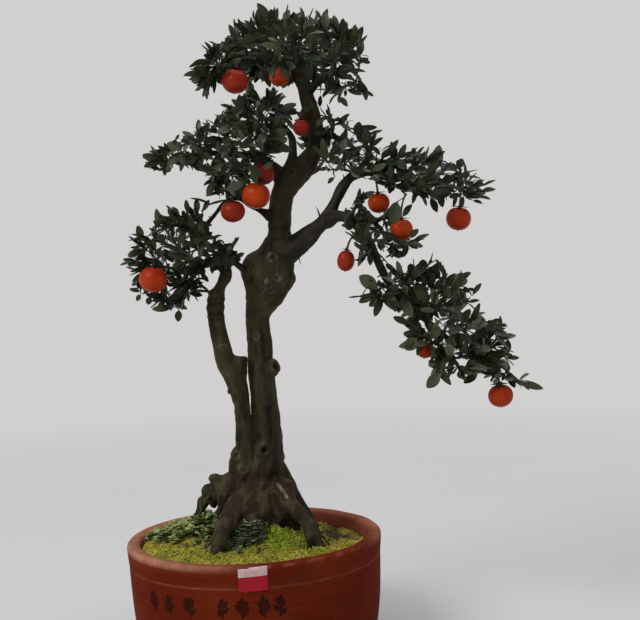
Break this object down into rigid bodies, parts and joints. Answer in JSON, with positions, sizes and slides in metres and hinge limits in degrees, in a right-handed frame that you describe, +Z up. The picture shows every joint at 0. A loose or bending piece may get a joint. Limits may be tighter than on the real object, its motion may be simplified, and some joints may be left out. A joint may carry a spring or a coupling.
{
  "type": "diospyros armata bonsai tree",
  "caption": "Fruiting Diospyros armata bonsai with a twisted dark trunk, a bare root fan, leaf pads and round orange fruits, in a round terracotta pot.",
  "frame": {"origin": "centre of the pot's flat underside, in the plane that the pot stands on", "axes": "+Z up, +X to the side that the long cascading branch falls to, -Y the front, with the paper label"},
  "size_m": [0.4842, 0.291, 0.729],
  "materials": {
    "terracotta": "unglazed, matte",
    "moss_soil": "moss over potting soil, dull",
    "bark": "smooth dark bark",
    "leaf": "glossy leaf",
    "fruit": "waxy fruit skin",
    "label_paper": "satin paper"
  },
  "bodies": {
    "root": {"pot": "terracotta", "soil": "moss_soil", "label": "label_paper", "wood": "bark", "spray_crown_top": "leaf", "spray_crown_upper_west": "leaf", "spray_crown_west": "leaf", "spray_crown_east": "leaf", "spray_crown_low_east": "leaf", "spray_crown_front": "leaf", "spray_crown_back": "leaf", "spray_crown_back_west": "leaf", "spray_north_mid": "leaf", "spray_west_mid_tip": "leaf", "spray_west_mid_outer": "leaf", "spray_west_mid_inner": "leaf", "spray_west_mid_back": "leaf", "spray_west_mid_front": "leaf", "spray_west_mid_low": "leaf", "spray_mid_east_tip": "leaf", "spray_mid_east_low": "leaf", "spray_mid_east_up": "leaf", "spray_mid_back": "leaf", "spray_east_arch": "leaf", "spray_east_mid": "leaf", "spray_east_outer": "leaf", "spray_east_tip": "leaf", "spray_east_front": "leaf", "spray_east_back": "leaf", "spray_fork_up": "leaf", "spray_fork_east": "leaf", "spray_fork_west": "leaf", "spray_fork_back": "leaf", "spray_fall_west": "leaf", "spray_fall_up": "leaf", "spray_fall_mid": "leaf", "spray_fall_east": "leaf", "spray_fall_outer": "leaf", "spray_fall_tip": "leaf", "spray_fall_low": "leaf", "spray_fall_back": "leaf", "spray_low_up": "leaf", "spray_low_out": "leaf", "spray_low_back": "leaf", "spray_low_tip": "leaf", "spray_low_spur": "leaf", "fruit_01": "fruit", "fruit_02": "fruit", "fruit_03": "fruit", "fruit_04": "fruit", "fruit_05": "fruit", "fruit_06": "fruit", "fruit_07": "fruit", "fruit_08": "fruit", "fruit_09": "fruit", "fruit_10": "fruit", "fruit_11": "fruit", "fruit_12": "fruit", "fruit_13": "fruit"}
  },
  "joints": []
}
